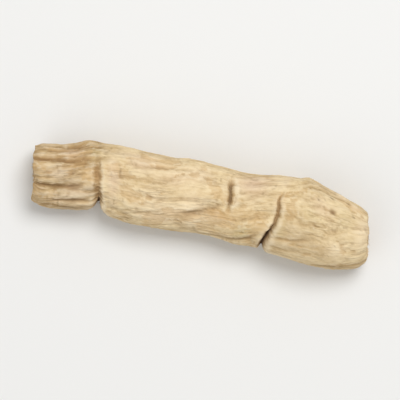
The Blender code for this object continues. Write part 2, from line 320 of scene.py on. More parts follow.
# Broad lumps, and shallow creases between them, which the solid has too.
def lumpHeights(place, degrees):
    look = lumpLook
    across, up = onCircle(degrees + rootForm["twist"] * place)
    lump = noiseAt(0.75 * across, 0.75 * up, place / 7.0 + 4.0)
    bend = look["creaseBend"] * noiseAt(1.3 * across, 1.3 * up, place / 3.0 + 21.0)
    crease = noiseAt(1.7 * across + bend, 1.7 * up, place / 9.5 + 11.0 + bend / 2)
    creased = bell(crease / look["creaseWidth"]) - look["creaseLevel"]
    return look["lumps"] * lump - look["creases"] * creased


# What only the finished bark has. Pairs of heights are for the plump bark and the shrunken end.
barkSkin = {
    "shrunkUpTo": (7.2, 0.9),  # place, and what it fades over
    "wrinkles": (0.070, 0.150),
    "fineWrinkles": (0.050, 0.080),
    "threads": (0.020, 0.032),
    "grit": 0.034,
    "crossCheck": 0.045,
    "flake": 0.050,
    "wornPlace": ((19.0, 2.5), (27.4, 1.2), (126, 34)),  # start, end and angle, each with its fade
}


def plumpOrShrunk(name, shrunk):
    plump, shrunken = barkSkin[name]
    return plump + (shrunken - plump) * shrunk


# Sharp valleys where a noise crosses nought, and level bark between them.
def valleyed(wave, steepness, level):
    return np.minimum(np.abs(wave) * steepness, 1) - level


# Long wrinkles at three sizes, which bend, split and join.
def wrinkleHeights(place, degrees, shrunk):
    bend = 9 * barkNoise(place, degrees, 2.6, 1.9, 60) + 3 * barkNoise(place, degrees, 0.9, 0.9, 63)
    bent = degrees + bend
    broad = barkNoise(place, bent, 6.0, 1.25, 31)
    fine = barkNoise(place, bent, 2.9, 0.55, 77)
    thread = barkNoise(place, bent, 1.5, 0.27, 15)
    patchy = 0.55 + 0.9 * ease(0.5 + 0.9 * barkNoise(place, degrees, 4.0, 2.4, 140))
    height = plumpOrShrunk("wrinkles", shrunk) * valleyed(broad, 2.8, 0.6)
    height += plumpOrShrunk("fineWrinkles", shrunk) * patchy * valleyed(fine, 2.6, 0.6)
    height += plumpOrShrunk("threads", shrunk) * patchy * valleyed(thread, 2.4, 0.5)
    return height


# Short hairline checks across the root, in patches, as dry bark gets when it stops shrinking.
def crossCheckShare(place, degrees, shrunk):
    bend = 0.16 * barkNoise(place, degrees, 1.1, 0.8, 200)
    line = barkNoise(place + bend, degrees, 0.95, 3.0, 120)
    short = barkNoise(place, degrees, 0.8, 1.1, 171)
    patch = barkNoise(place, degrees, 3.4, 2.6, 186) + 0.16 * shrunk
    return bell(line / 0.085) * fadeIn(short, 0.05, 0.16) * fadeIn(patch, 0.19, 0.16)


# Thin cork that has come off in patches, most of all on one worn place.
def flakedShare(place, degrees, shrunk):
    patch = barkNoise(place, degrees, 3.6, 2.6, 90, octaves=5)
    start, end, side = barkSkin["wornPlace"]
    worn = fadeIn(place, *start) * (1 - fadeIn(place, *end)) * bellRound(degrees, *side)
    return ease((patch - 0.30 + 0.44 * worn + 0.10 * shrunk) / 0.08)


# Pits and small bumps. The large pits are placed, and the others are drawn at random.
pitLook = {
    "large": [(35.1, 67, 0.30), (36.9, 36, 0.25), (35.0, 43, 0.22), (33.3, 58, 0.15), (37.6, 60, 0.16)],
    "largeDepth": 0.26,  # depths are in shares of a pit's size
    "largeDarkness": 0.9,
    "count": 170,
    "seed": 4,
    "sizes": (0.06, 0.17),
    "depths": (0.15, 0.45),
    "darkest": 0.45,
    "clustered": 0.22,  # share of them that lies near one place
    "cluster": ((34.6, 2.2), (56, 30)),  # along and angle, each with its spread
    "rim": 0.3,
    "bumps": [(36.2, 24, 0.55, 0.10), (37.7, 38, 0.55, 0.10), (34.0, 128, 0.8, 0.06),
              (38.0, 84, 0.5, 0.05)],
}


# Each pit's place, angle, size, depth and darkness.
def drawPits():
    look = pitLook
    draw = np.random.default_rng(look["seed"])
    pits = [(at, angle, size, look["largeDepth"] * size, look["largeDarkness"])
            for at, angle, size in look["large"]]
    for _ in range(look["count"]):
        at, angle, size = draw.uniform(1, 38), draw.uniform(0, 360), draw.uniform(*look["sizes"])
        if draw.uniform() < look["clustered"]:
            at, angle = (draw.normal(*spot) for spot in look["cluster"])
        depth = size * draw.uniform(*look["depths"])
        pits.append((at, angle, size, depth, draw.uniform(0.0, look["darkest"])))
    return pits


def pitHeights(place, degrees):
    height, dark = np.zeros((2, *place.shape))
    for at, angle, size, depth, darkness in drawPits():
        near = np.abs(place - at) < 3.2 * size
        sideways = np.radians(angleBetween(degrees[near], angle)) * rootForm["meanRadius"] / size
        forward = (place[near] - at) * 0.7 / size
        away = np.hypot(sideways, forward) * (1 + 0.5 * noiseAt(sideways * 0.9, forward * 0.9, at * 5))
        bowl = hump(np.abs(away), 2.2)
        height[near] += pitLook["rim"] * depth * bellAt(away, 1.5, 0.5) - depth * bowl
        dark[near] = np.maximum(dark[near], darkness * bowl**1.6)
    for at, angle, size, rise in pitLook["bumps"]:
        sideways = np.radians(angleBetween(degrees, angle)) * rootForm["meanRadius"] / size
        height += rise * bell(np.hypot(sideways, (place - at) / size))
    return height, dark


# The end faces, from the rim in: cut bark, a ring where it has drawn back, and the core. Pairs are
# for the shrunken end and the blunt end.
endLook = {
    "reach": 2.0,  # how far along the bark an end's shape goes
    "rimRagged": (0.70, 0.25),
    "rimSeed": (50.0, 59.0),
    "rimStands": (0.0, 0.32),
    "domeStands": (-0.15, 0.10),
    "coreStands": (0.20, 0.0),
    "ringDepth": (0.35, 0.22),
    "ringPlace": 1.4,  # in shares of the core
    "ringWidth": 0.1,
    "rough": 0.22,
    "roughSeed": (30.0, 39.0),
    "grain": 0.07,
    "coreGrain": 0.06,
    "rays": 0.10,
}


def coreOutline(turn):
    return 1 + 0.10 * np.cos(3 * turn + 0.7) + 0.05 * np.cos(5 * turn + 2.0)


# How far an end face stands out at each point.
def endRelief(share, degrees, end):
    look, coreShare = endLook, rootForm["coreShare"]
    across, up = onCircle(degrees)
    rim = look["rimRagged"][end] * roundNoise(degrees, 1.9, look["rimSeed"][end]) * share**2
    rim += look["rimStands"][end]
    core = 1 - ease(2 * (share / coreShare - 0.75))
    rough = noiseAt(2.6 * share * across, 2.6 * share * up, look["roughSeed"][end])
    rough *= np.minimum(1.0, 3 * (1 - share))
    stands = look["domeStands"][end] * (1 - share**2) + look["coreStands"][end] * core
    ring = look["ringDepth"][end] * bellAt(share, look["ringPlace"] * coreShare, look["ringWidth"])
    return rim + look["rough"] * rough + stands - ring


# Roughness of a cut face: grain all over it, and rays that run out from the core.
def faceRoughness(share, degrees, place, onCut, onCore):
    across, up = onCircle(degrees)
    grain = noiseAt(share * across * 13, share * up * 13, place, 4)
    rays = noiseAt(across * 9, up * 9, share * 1.4 + place) * np.minimum(1, 4 * share)
    grainy = (endLook["grain"] + endLook["coreGrain"] * onCore) * grain
    return onCut * (grainy + endLook["rays"] * rays * (1 - onCore))


# How each point lies to the bark round it, from -1 in a hollow to 1 on a ridge.
def ridgeShare(height, reach, softness):
    smooth = height.copy()
    wide = 2 * reach + 1
    for _ in range(2):
        smooth = sum(np.roll(smooth, step, axis=1) for step in range(-reach, reach + 1)) / wide
        padded = np.pad(smooth, ((reach, reach), (0, 0)), mode="edge")
        smooth = sum(padded[step:step + height.shape[0]] for step in range(wide)) / wide
    return np.clip((height - smooth) / softness, -1, 1)


# Places where the bark's colour drifts: along, angle, length, width in degrees, strength.
barkTints = {
    "tintRosy": [(25.2, 44, 1.7, 24, 0.75), (12.2, 46, 1.7, 16, 0.45), (9.4, 92, 0.8, 22, 0.55),
                 (33.6, 66, 1.5, 12, 0.40), (4.0, 40, 1.4, 14, 0.55), (16.5, 66, 2.4, 12, 0.35)],
    "tintOchre": [(21.6, 112, 1.7, 12, 0.80), (26.8, 106, 0.8, 12, 0.55), (5.5, 66, 1.6, 14, 0.45),
                  (28.9, 72, 0.6, 18, 0.50), (34.6, 160, 1.6, 16, 0.35), (23.2, 128, 1.4, 10, 0.45)],
    "tintOlive": [(25.2, 132, 1.5, 16, 0.65), (6.9, 44, 0.9, 18, 0.50), (29.3, 116, 0.9, 16, 0.45),
                  (32.6, 80, 1.3, 18, 0.30), (2.4, 116, 1.5, 14, 0.35), (36.5, 72, 0.9, 14, 0.30)],
    # Pale patches, partly the bark's own colour and partly painted highlights on bumps, ridge tips and the
    # blunt end's rim.
    "tintPaleAndHighlight": [(38.7, 82, 0.7, 36, 0.70), (6.5, 84, 0.5, 18, 0.25), (8.9, 74, 0.5, 20, 0.75),
                 (28.3, 30, 0.5, 26, 0.55), (36.2, 24, 0.6, 8, 0.9), (37.7, 38, 0.6, 8, 0.9),
                 (3.0, 83, 1.5, 10, 0.90), (4.9, 123, 1.3, 22, 0.85), (9.3, 128, 0.7, 16, 0.45),
                 (17.0, 119, 4.2, 13, 0.85), (13.0, 42, 5.0, 12, 0.45), (35.8, 118, 1.3, 14, 0.45),
                 (15.6, 135, 2.6, 12, 0.85), (3.1, 134, 0.9, 13, 0.80), (18.8, 116, 1.9, 34, 0.60),
                 (19.0, 52, 1.8, 14, 0.70), (14.4, 100, 1.8, 16, 0.45)],
    "tintDull": [(31.8, 123, 2.8, 24, 0.85), (2.2, 12, 2.4, 18, 0.8), (0.3, 92, 0.8, 50, 0.60),
                 (29.4, 134, 1.2, 24, 1.00), (27.0, 142, 1.2, 18, 0.90), (25.2, 66, 1.5, 9, 0.40),
                 (30.3, 108, 1.7, 18, 1.00), (33.4, 126, 1.6, 18, 1.00), (21.2, 120, 1.1, 10, 0.60),
                 (0.9, 130, 0.9, 26, 0.85), (24.2, 84, 0.8, 10, 0.45)],
}


def tintShare(patches, place, degrees):
    drift = 7 * barkNoise(place, degrees, 1.6, 1.6, 230)
    share = np.zeros(place.shape)
    for at, angle, length, width, strength in patches:
        away = np.hypot((place - at) / length, angleBetween(degrees + drift, angle) / width)
        share = np.maximum(share, strength * bell(away))
    return share


barkMesh = {
    "around": 276,
    "along": 318,
    "endRings": 18,
    "endCloseness": 0.9,
    "samples": 4000,
    "atCracks": [(1.8, 0.8), (2.6, 0.3)],  # how much closer, and how far that reaches
    "atEnds": [(2.0, 0.8)],
}


# Rings of vertices along the root, closer together at the cracks and the ends.
def ringPlaces():
    first, last = rootForm["stations"][0][0], rootForm["stations"][-1][0]
    closer = [(at, "atCracks") for at, *_ in rootForm["cracks"]] + [(first, "atEnds"), (last, "atEnds")]
    places = np.linspace(first, last, barkMesh["samples"])
    closeness = np.ones_like(places)
    for at, kind in closer:
        closeness += sum(more * bellAt(places, at, span) for more, span in barkMesh[kind])
    travelled = np.concatenate([[0], np.cumsum((closeness[1:] + closeness[:-1]) / 2)])
    return np.interp(np.linspace(0, travelled[-1], barkMesh["along"] + 1), travelled, places)


# The bark's grid: place along, angle round, and share of the radius, which is 1 all along the bark
# and falls towards nought across each end face.
def barkGrid():
    around, rings = barkMesh["around"], ringPlaces()
    endShares = np.linspace(1, 0, barkMesh["endRings"] + 1)[1:-1] ** barkMesh["endCloseness"]
    count = len(endShares)
    place = np.concatenate([np.full(count, rings[0]), rings, np.full(count, rings[-1])])
    share = np.concatenate([endShares[::-1], np.ones(len(rings)), endShares])
    place, degrees = np.meshgrid(place, np.arange(around) * 360.0 / around, indexing="ij")
    return place, degrees, np.repeat(share[:, None], around, axis=1)


# Quads between neighbouring rings, and a fan of triangles round the middle of each end face.
def barkFaces(rows, around):
    ring, spoke = np.meshgrid(np.arange(rows - 1) * around, np.arange(around), indexing="ij")
    nextSpoke, nextRing = (spoke + 1) % around, ring + around
    quads = np.stack([ring + spoke, ring + nextSpoke, nextRing + nextSpoke, nextRing + spoke], axis=-1)
    spokes, nextSpokes = spoke[0], nextSpoke[0]
    middle, lastRing = np.full(around, rows * around), (rows - 1) * around
    fans = np.concatenate([
        np.stack([middle, nextSpokes, spokes], axis=-1),
        np.stack([middle + 1, lastRing + spokes, lastRing + nextSpokes], axis=-1),
    ])
    return quads.reshape(-1, 4).tolist() + fans.tolist()


def newObject(name, data):
    made = bpy.data.objects.new(name, data)
    bpy.context.scene.collection.objects.link(made)
    return made


def makeBark():
    place, degrees, share = barkGrid()
    rows, around = place.shape
    first, last = place[0, 0], place[-1, 0]
    turn = np.radians(degrees)
    shrunk = 1 - fadeIn(place, *barkSkin["shrunkUpTo"])
    halfWidth = stationValue(place, widthColumn)
    cracked, valleys, slits, lips = crackHeights(place, degrees)
    furrowed, inFurrow = furrowHeights(place, degrees, halfWidth)
    checks = crossCheckShare(place, degrees, shrunk)
    flaked = flakedShare(place, degrees, shrunk)
    pitted, pitDark = pitHeights(place, degrees)
    skin = wrinkleHeights(place, degrees, shrunk) + pitted
    skin = skin - barkSkin["flake"] * flaked - barkSkin["crossCheck"] * checks
    grit = barkSkin["grit"] * barkNoise(place, degrees, 0.42, 0.34, 8, octaves=3)
    skin = skin * (1 - 0.75 * valleys) + grit * (1 + 2.0 * valleys)
    height = (cracked + furrowed + lumpHeights(place, degrees) + skin) * share**2
    print("bark shaped")

    coreShare = rootForm["coreShare"]
    barkShare = np.clip(share - coreShare, 0, None) / (1 - coreShare)
    outline = coreOutline(turn) * (1 - barkShare) + barkShare
    reach = np.where(share < 1, share * outline, 1.0)
    across = (halfWidth + height) * np.cos(turn) * reach
    up = (halfWidth * rootForm["flatness"] + height) * np.sin(turn) * reach
    onCut = ease((1 - share) / 0.06)
    onCore = onCut * (1 - ease((share / coreShare - 0.86) / 0.16))
    along = place + crackDrift(place, degrees) + endLean(place, degrees, share)
    for end, (fromEnd, outward) in enumerate(((place - first, -1), (last - place, 1))):
        near = fromEnd < endLook["reach"]
        stands = ease(1 - fromEnd[near] / endLook["reach"]) * endRelief(share[near], degrees[near], end)
        stands += faceRoughness(share[near], degrees[near], place[near], onCut[near], onCore[near])
        along[near] += outward * stands

    z = halfWidth * rootForm["flatness"] - rootForm["undersideCut"] + stationValue(place, liftColumn) + up
    z = 0.5 * (z + np.sqrt(z * z + rootForm["restSoftness"]))  # nothing passes through the surface
    x = (along - rootForm["middle"][0]) * rootForm["scale"]
    y = (stationValue(place, centreColumn) + across - rootForm["middle"][1]) * rootForm["scale"]
    points = np.stack([x, y, z * rootForm["scale"]], axis=-1).reshape(-1, 3) * mm
    points = np.concatenate([points, [points[:around].mean(axis=0), points[-around:].mean(axis=0)]])
    mesh = bpy.data.meshes.new("root_bark")
    mesh.from_pydata(points.tolist(), [], barkFaces(rows, around))

    # Ridges standing above the bark round them are painted paler, as highlights.
    upAndDown = ridgeShare(height, 3, 0.09)
    broadRidges = ridgeShare(height, 9, 0.30)
    # Hollows are painted darker, as shade, and crumbs gather in them.
    hollow = np.clip(-0.6 * upAndDown - 0.6 * broadRidges, 0, 1)
    clear = fadeIn(z, 0.4, 0.4)  # nothing grows where it would reach into the surface
    onTop = 0.25 + 0.75 * ease(0.5 + 0.6 * np.sin(turn))
    patchy = ease(0.5 + 1.4 * barkNoise(place, degrees, 3.0, 2.0, 310))
    dusty = 0.9 * valleys + 0.7 * inFurrow * patchy + 0.5 * hollow * patchy
    values = {
        "inCrack": valleys * share**2, "inSlit": slits * share**2, "inFurrow": inFurrow,
        "onLip": lips, "checked": checks, "flaked": flaked, "pitted": pitDark, "shrunk": shrunk,
        "onCut": onCut, "onCore": onCore, "fromMiddle": share,
        "ridge": np.clip(upAndDown, 0, 1), "hollow": hollow,
        "torn": clear * np.clip(onCore + 0.10 * onCut + 0.35 * slits * share**2, 0, 1),
        "dusty": share**8 * clear * onTop * np.clip(dusty, 0, 1),
    }
    for name, patches in barkTints.items():
        values[name] = tintShare(patches, place, degrees)
    for name, field in values.items():
        attribute = mesh.attributes.new(name, "FLOAT", "POINT")
        full = np.concatenate([field.ravel(), field[0, :1], field[-1, :1]])
        attribute.data.foreach_set("value", full.astype(np.float32))
    twisted = turn + np.radians(rootForm["twist"]) * place
    radius = rootForm["meanRadius"] * share
    straight = np.stack([place, radius * np.cos(twisted), radius * np.sin(twisted)], axis=-1)
    straight = np.concatenate([straight.reshape(-1, 3), [[first, 0, 0], [last, 0, 0]]])
    attribute = mesh.attributes.new("straightRoot", "FLOAT_VECTOR", "POINT")
    attribute.data.foreach_set("vector", straight.astype(np.float32).ravel())
    mesh.shade_smooth()
    print("bark made with", len(mesh.polygons), "faces")
    return newObject("root_bark", mesh)


# Colours and shader nodes.
def srgb(red, green, blue):
    channels = np.array([red, green, blue]) / 255
    linear = np.where(channels <= 0.04045, channels / 12.92, ((channels + 0.055) / 1.055) ** 2.4)
    return (*linear.tolist(), 1.0)


def plug(socket, value):
    if isinstance(value, bpy.types.NodeSocket):
        socket.id_data.links.new(value, socket)
    else:
        socket.default_value = value


# Adds a node, sets it up and plugs its inputs by name. Gives back its outputs by name.
def add(tree, kind, values, **settings):
    node = tree.nodes.new(kind)
    for name, setting in settings.items():
        setattr(node, name, setting)
    for name, value in values.items():
        socket = next(socket for socket in node.inputs if socket.name == name and socket.enabled)
        plug(socket, value)
    return {socket.name: socket for socket in node.outputs if socket.enabled}


def maths(tree, operation, first, second=0.0, clamp=False):
    node = tree.nodes.new("ShaderNodeMath")
    node.operation = operation
    node.use_clamp = clamp
    plug(node.inputs[0], first)
    plug(node.inputs[1], second)
    return node.outputs[0]


def plus(tree, first, second, clamp=False):
    return maths(tree, "ADD", first, second, clamp)


def minus(tree, first, second):
    return maths(tree, "SUBTRACT", first, second)


def times(tree, first, second, clamp=False):
    return maths(tree, "MULTIPLY", first, second, clamp)


def mixed(tree, factor, first, second, blend="MIX"):
    node = tree.nodes.new("ShaderNodeMix")
    node.data_type = "RGBA"
    node.blend_type = blend
    plug(node.inputs["Factor"], factor)
    colours = [socket for socket in node.inputs if socket.type == "RGBA"]
    plug(colours[0], first)
    plug(colours[1], second)
    return next(socket for socket in node.outputs if socket.type == "RGBA")


def smoothStep(tree, value, low, high):
    values = {"Value": value, "From Min": low, "From Max": high}
    return add(tree, "ShaderNodeMapRange", values, interpolation_type="SMOOTHSTEP")["Result"]


def cloudy(tree, vector, stretch, shift=(0, 0, 0), detail=4.0, roughness=0.55):
    values = {"Vector": vector, "Scale": stretch, "Location": shift}
    placed = add(tree, "ShaderNodeMapping", values)["Vector"]
    values = {"Vector": placed, "Scale": 1.0, "Detail": detail, "Roughness": roughness}
    return add(tree, "ShaderNodeTexNoise", values)["Fac"]


def read(tree, name, output="Fac"):
    return add(tree, "ShaderNodeAttribute", {}, attribute_name=name)[output]


# A node group with the sockets named, ready to be filled: its tree, inputs and outputs.
def newGroup(name, inputs, outputs, treeKind="ShaderNodeTree"):
    tree = bpy.data.node_groups.new(name, treeKind)
    for way, sockets in (("INPUT", inputs), ("OUTPUT", outputs)):
        for socketName, kind, *start in sockets:
            socket = tree.interface.new_socket(socketName, in_out=way, socket_type="NodeSocket" + kind)
            if start:
                socket.default_value = start[0]
    return tree, tree.nodes.new("NodeGroupInput").outputs, tree.nodes.new("NodeGroupOutput").inputs


def placeGroup(tree, group, values):
    return add(tree, "ShaderNodeGroup", values, node_tree=group)


# Thin lines where a noise crosses its middle: 0 along each line and 1 away from it.
def fineLines(tree, vector, stretch, shift, width, detail):
    wave = cloudy(tree, vector, stretch, shift, detail=detail, roughness=0.5)
    return smoothStep(tree, maths(tree, "ABSOLUTE", minus(tree, wave, 0.5)), 0.0, width)


# Dry bark: streaks that run along the root, soft blotches, fine creases with painted shade in them, and the
# height of all.
def makeBarkTone():
    tree, given, made = newGroup(
        "barkTone",
        [("Vector", "Vector"), ("Light", "Color"), ("Dark", "Color"),
         ("Streaks", "Float", 0.5), ("Blotches", "Float", 0.5), ("Creases", "Float", 0.3)],
        [("Color", "Color"), ("Height", "Float")])
    vector, contrast = given["Vector"], 5.0
    broad = cloudy(tree, vector, (0.20, 1.15, 1.15), detail=5.0, roughness=0.62)
    thin = cloudy(tree, vector, (0.75, 4.6, 4.6), (7, 0, 0), detail=3.0, roughness=0.6)
    streak = plus(tree, times(tree, broad, 0.62), times(tree, thin, 0.38))
    streak = times(tree, minus(tree, streak, 0.5), times(tree, given["Streaks"], contrast))
    blotch = cloudy(tree, vector, (0.55, 0.75, 0.75), (3, 9, 1), detail=5.0, roughness=0.66)
    blotch = times(tree, minus(tree, blotch, 0.5), times(tree, given["Blotches"], contrast))
    lightShare = plus(tree, plus(tree, streak, blotch), 0.55, clamp=True)

    broadLines = fineLines(tree, vector, (0.15, 1.3, 1.3), (2, 5, 8), 0.028, 4.0)
    thinLines = fineLines(tree, vector, (0.40, 3.6, 3.6), (6, 1, 3), 0.050, 3.0)
    thinLines = plus(tree, times(tree, thinLines, 0.6), 0.4)
    patches = smoothStep(tree, cloudy(tree, vector, (0.3, 0.6, 0.6), (5, 5, 5), detail=3.0), 0.34, 0.64)
    creased = times(tree, minus(tree, 1.0, times(tree, broadLines, thinLines)), patches)
    colour = mixed(tree, lightShare, given["Dark"], given["Light"])
    # The creases darken the colour, as painted shade.
    creaseShare = times(tree, creased, given["Creases"])
    plug(made["Color"], mixed(tree, creaseShare, colour, srgb(190, 168, 142), "MULTIPLY"))
    height = plus(tree, thin, times(tree, broad, 0.5))
    plug(made["Height"], minus(tree, height, times(tree, creased, 0.7)))
    return tree


# Fine dry grit, for the height of a dusty surface, and small dark flecks in it.
def makeDryGrit():
    tree, given, made = newGroup(
        "dryGrit",
        [("Vector", "Vector"), ("Size", "Float", 1.0), ("Flecks", "Float", 0.5)],
        [("Fleck", "Float"), ("Height", "Float")])
    values = {"Vector": given["Vector"], "Scale": given["Size"]}
    vector = add(tree, "ShaderNodeVectorMath", values, operation="SCALE")["Vector"]
    plug(made["Height"], cloudy(tree, vector, (3.2, 3.2, 3.2), detail=6.0, roughness=0.7))
    spots = cloudy(tree, vector, (2.1, 3.0, 3.0), (4, 4, 0), detail=3.0, roughness=0.75)
    patches = cloudy(tree, vector, (0.45, 0.45, 0.45), (0, 6, 2), detail=2.0)
    low = minus(tree, 0.78, times(tree, given["Flecks"], 0.20))
    over = times(tree, minus(tree, spots, low), 14.0, clamp=True)
    plug(made["Fleck"], times(tree, over, smoothStep(tree, patches, 0.40, 0.62)))
    return tree


# What shows in a crack: brown dust on its walls, darkened further as painted shade, and a dark floor that
# is painted shade.
def makeCrackDustAndShade():
    tree, given, made = newGroup(
        "crackDustAndShade",
        [("Color", "Color"), ("Wall", "Color"), ("Floor", "Color"),
         ("Wall Strength", "Float", 0.7), ("Floor Strength", "Float", 0.9)],
        [("Color", "Color")])
    onWall = times(tree, read(tree, "inCrack"), given["Wall Strength"], clamp=True)
    onFloor = times(tree, read(tree, "inSlit"), given["Floor Strength"], clamp=True)
    colour = mixed(tree, onWall, given["Color"], given["Wall"])
    plug(made["Color"], mixed(tree, onFloor, colour, given["Floor"]))
    return tree


def newMaterial(name):
    material = bpy.data.materials.new(name)
    material.use_nodes = True
    return material, material.node_tree, material.node_tree.nodes["Principled BSDF"].inputs


# A crack's colours: the wall brown, partly dust and partly painted shade, and the floor dark, painted
# shade.
crackDustAndShadeColours = {"Wall": srgb(150, 116, 78), "Floor": srgb(82, 59, 39)}
barkFinish = {
    "plump": {"Light": srgb(242, 221, 179), "Dark": srgb(211, 182, 133),
              "Streaks": 0.45, "Blotches": 0.40, "Creases": 0.55},
    "shrunken": {"Light": srgb(221, 193, 147), "Dark": srgb(172, 141, 96),
                 "Streaks": 0.7, "Blotches": 0.5, "Creases": 0.65},
    "grit": {"Size": 1.7, "Flecks": 0.75},
    "inCracks": {"Wall Strength": 0.74, "Floor Strength": 0.92},
    "stainsAndPaintedLight": [  # what each lies on, its strength and its colour, from the lowest up
        # Most are the bark's own tints and stains, but the pale tints are partly painted highlights, ridge
        # and onLip are painted highlights, and inFurrow and hollow are painted shade.
        ("tintRosy", 0.55, (222, 190, 172)), ("tintOchre", 0.55, (206, 160, 98)),
        ("tintOlive", 0.55, (190, 178, 122)), ("tintPaleAndHighlight", 0.55, (252, 232, 202)),
        ("tintDull", 0.55, (188, 160, 118)), ("flaked", 0.32, (208, 168, 112)),
        ("inFurrow", 0.38, (150, 116, 76)), ("hollow", 0.50, (150, 116, 76)),
        ("ridge", 0.38, (248, 232, 202)), ("flecks", 0.32, (120, 88, 56)),
        ("pitted", 0.70, (120, 88, 56)), ("checked", 0.30, (128, 94, 60)),
        ("onLip", 0.30, (248, 232, 202)),
    ],
    "cutRim": srgb(238, 213, 170),
    "cutLight": srgb(235, 205, 160),
    "cutDark": srgb(168, 132, 108),
    "woodLight": srgb(226, 196, 142),
    "woodDark": srgb(176, 136, 86),
    "leastRoughness": 0.70,
    "gloss": 0.3,
    "bump": {"Strength": 0.8, "Distance": 0.00014},  # distance in metres
}


# The end faces: bark that darkens towards the core, and a woody core with pores.
def cutColour(tree, straight):
    look = barkFinish
    blotch = cloudy(tree, straight, (0, 1.6, 1.6), detail=5.0, roughness=0.65)
    fromCore = plus(tree, times(tree, read(tree, "fromMiddle"), 0.62), times(tree, blotch, 0.7))
    cut = mixed(tree, smoothStep(tree, fromCore, 0.46, 0.76), look["cutDark"], look["cutLight"])
    cut = mixed(tree, smoothStep(tree, fromCore, 0.84, 0.98), cut, look["cutRim"])
    pores = cloudy(tree, straight, (0, 4.0, 4.0), detail=4.0, roughness=0.7)
    wood = mixed(tree, smoothStep(tree, pores, 0.3, 0.7), look["woodDark"], look["woodLight"])
    return mixed(tree, read(tree, "onCore"), cut, wood)


def makeBarkMaterial(barkTone, dryGrit, crackDustAndShade):
    look = barkFinish
    material, tree, shader = newMaterial("dryBark")
    straight = read(tree, "straightRoot", "Vector")
    plump = placeGroup(tree, barkTone, {"Vector": straight, **look["plump"]})
    shrunken = placeGroup(tree, barkTone, {"Vector": straight, **look["shrunken"]})
    grit = placeGroup(tree, dryGrit, {"Vector": straight, **look["grit"]})
    colour = mixed(tree, read(tree, "shrunk"), plump["Color"], shrunken["Color"])
    for mask, strength, stainAndPaintedLight in look["stainsAndPaintedLight"]:
        share = grit["Fleck"] if mask == "flecks" else read(tree, mask)
        colour = mixed(tree, times(tree, share, strength, clamp=True), colour, srgb(*stainAndPaintedLight))
    dustedAndShaded = placeGroup(tree, crackDustAndShade, {"Color": colour, **crackDustAndShadeColours, **look["inCracks"]})
    colour = mixed(tree, read(tree, "onCut"), dustedAndShaded["Color"], cutColour(tree, straight))
    plug(shader["Base Color"], colour)
    roughness = plus(tree, times(tree, grit["Height"], 0.25), look["leastRoughness"], clamp=True)
    plug(shader["Roughness"], roughness)
    plug(shader["Specular IOR Level"], look["gloss"])
    height = plus(tree, times(tree, plump["Height"], 0.55), times(tree, grit["Height"], 0.8))
    plug(shader["Normal"], add(tree, "ShaderNodeBump", {"Height": height, **look["bump"]})["Normal"])
    return material


corkFinish = {
    "tone": {"Light": srgb(230, 206, 163), "Dark": srgb(188, 154, 107),
             "Streaks": 0.6, "Blotches": 0.5, "Creases": 0.3},
    "grit": {"Size": 2.0, "Flecks": 0.4},
    "inCracks": {"Wall Strength": 0.6},
    "leastRoughness": 0.75,
    "gloss": 0.25,
}


# Cork or wood in the bark's tones, brown where it lies in a crack, partly dust and partly painted shade.
def newDustedAndShaded(name, look, barkTone, crackDustAndShade):
    material, tree, shader = newMaterial(name)
    straight = read(tree, "straightRoot", "Vector")
    tone = placeGroup(tree, barkTone, {"Vector": straight, **look["tone"]})
    dustedAndShaded = placeGroup(tree, crackDustAndShade, {"Color": tone["Color"], **crackDustAndShadeColours, **look["inCracks"]})
    plug(shader["Base Color"], dustedAndShaded["Color"])
    return material, tree, shader, straight


def makeLooseCork(barkTone, dryGrit, crackDustAndShade):
    look = corkFinish
    material, tree, shader, straight = newDustedAndShaded("looseCork", look, barkTone, crackDustAndShade)
    grit = placeGroup(tree, dryGrit, {"Vector": straight, **look["grit"]})
    plug(shader["Roughness"], plus(tree, times(tree, grit["Height"], 0.2), look["leastRoughness"]))
    plug(shader["Specular IOR Level"], look["gloss"])
    return material


fibreFinish = {
    "tone": {"Light": srgb(238, 212, 158), "Dark": srgb(178, 138, 84), "Streaks": 0.8, "Blotches": 0.8},
    "inCracks": {"Wall Strength": 0.8},
    "roughness": 0.65,
}


def makeTornFibre(barkTone, crackDustAndShade):
    material, _, shader, _ = newDustedAndShaded("tornFibre", fibreFinish, barkTone, crackDustAndShade)
    plug(shader["Roughness"], fibreFinish["roughness"])
    return material


# What grows or lies on the bark. Each tree takes the bark's mesh and gives back only what it
# scatters there. Here lengths are in metres, densities for a square metre and angles in radians.
fibreSizes = {
    "Density": 1.5e7,
    "Shortest": 0.00007,
    "Longest": 0.00026,
    "Slimness": 0.085,
    "Tilt": 1.0,
    "Seed": 3,
}
crumbSizes = {
    "Density": 1.1e7,
    "Smallest": 0.000018,
    "Largest": 0.000070,
    "Flatness": 0.6,
    "Seed": 8,
}
fullTurn = 6.28


def newGrowth(name, sizes):
    numbers = [(size, "Int" if isinstance(value, int) else "Float", value) for size, value in sizes.items()]
    inputs = [("Geometry", "Geometry"), *numbers, ("Material", "Material")]
    return newGroup(name, inputs, [("Geometry", "Geometry")], "GeometryNodeTree")


def vectorOf(tree, x, y, z):
    return add(tree, "ShaderNodeCombineXYZ", {"X": x, "Y": y, "Z": z})["Vector"]


def randomNumber(tree, low, high, seed):
    values = {"Min": low, "Max": high, "Seed": seed}
    return add(tree, "FunctionNodeRandomValue", values, data_type="FLOAT")["Value"]


# Points on the bark, as dense as the named mask, with their Z along the bark's normal.
def scattered(tree, given, mask):
    share = add(tree, "GeometryNodeInputNamedAttribute", {"Name": mask}, data_type="FLOAT")["Attribute"]
    density = times(tree, share, given["Density"])
    values = {"Mesh": given["Geometry"], "Density": density, "Seed": given["Seed"]}
    return add(tree, "GeometryNodeDistributePointsOnFaces", values, distribute_method="RANDOM")


